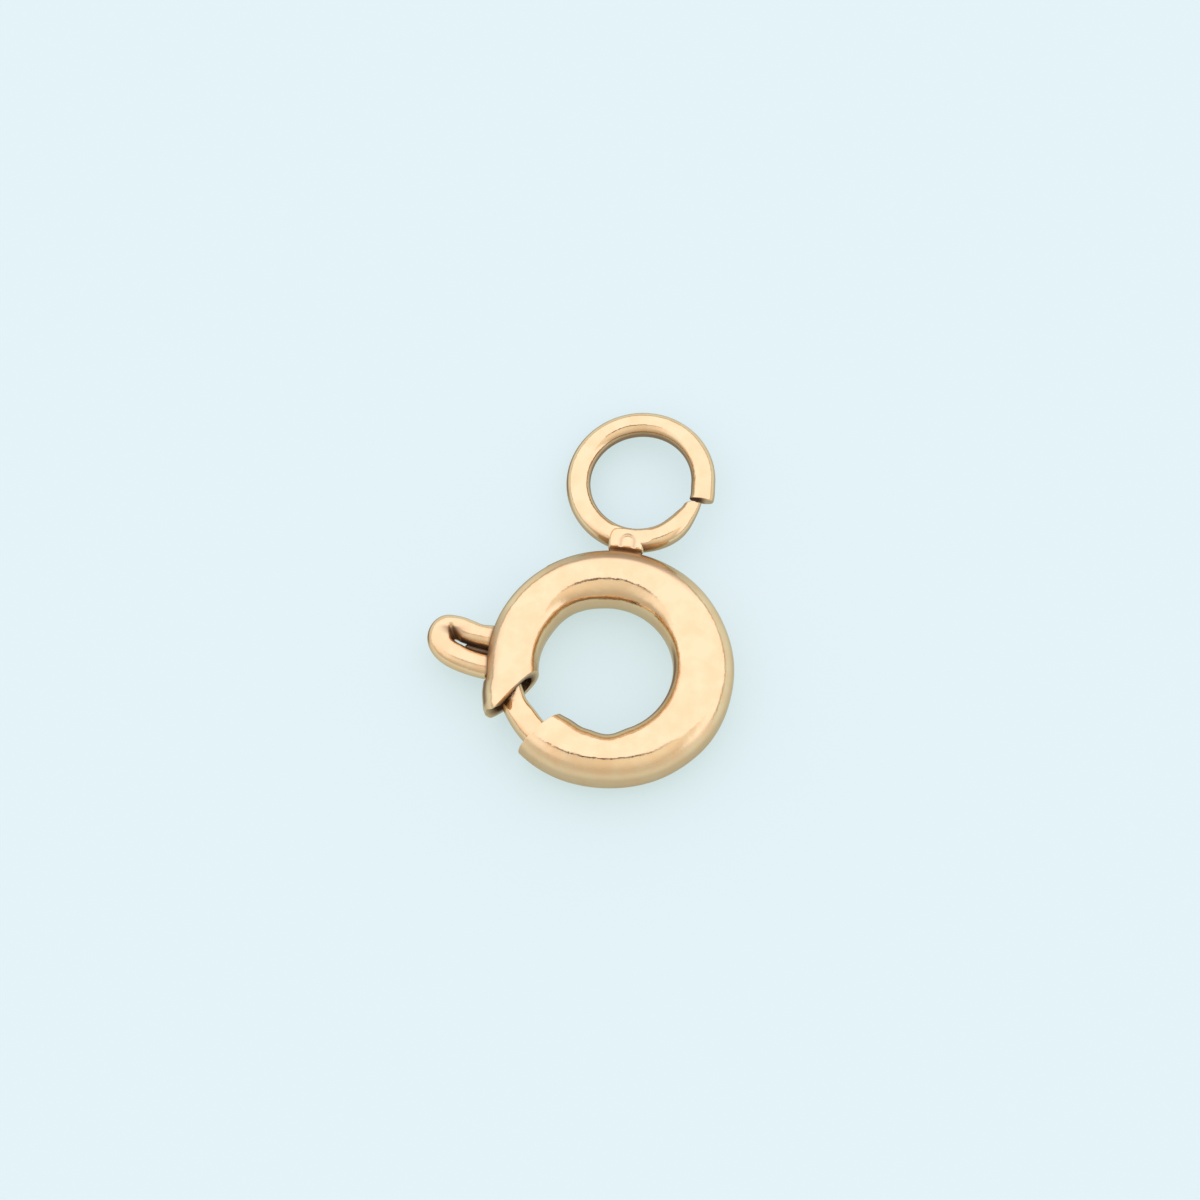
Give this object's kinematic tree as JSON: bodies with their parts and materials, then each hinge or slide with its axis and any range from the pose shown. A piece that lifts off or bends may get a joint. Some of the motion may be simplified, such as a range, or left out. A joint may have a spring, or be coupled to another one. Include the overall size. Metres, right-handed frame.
{
  "type": "spring ring clasp",
  "caption": "Round spring ring clasp with a hollow open ring, a sliding sprung bolt with a wire thumb trigger, and a soldered open eye ring.",
  "frame": {"origin": "centre of the clasp's ring, in the middle of its tube's thickness", "axes": "+Z along the ring's axis, up as the clasp lies, +Y towards the far side of the eye ring, +X to the right with the thumb trigger on the left"},
  "size_m": [0.0074, 0.0096, 0.0014],
  "materials": {
    "case_gold": "polished 14 carat yellow gold with fine handling marks",
    "bolt_gold": "polished 14 carat yellow gold, drawn wire",
    "spring_steel": "drawn stainless spring wire"
  },
  "bodies": {
    "case": {"ring_case": "case_gold", "return_spring": "spring_steel"},
    "bolt": {"bolt": "bolt_gold"}
  },
  "joints": [
    {"name": "bolt_draw", "type": "hinge", "parent": "case", "child": "bolt", "pos_m": [0, 0, 0], "axis": [0, 0, -1], "range_deg": [0, 36], "stiffness_Nm_per_rad": 0.0038, "deforming": ["return_spring"]}
  ]
}
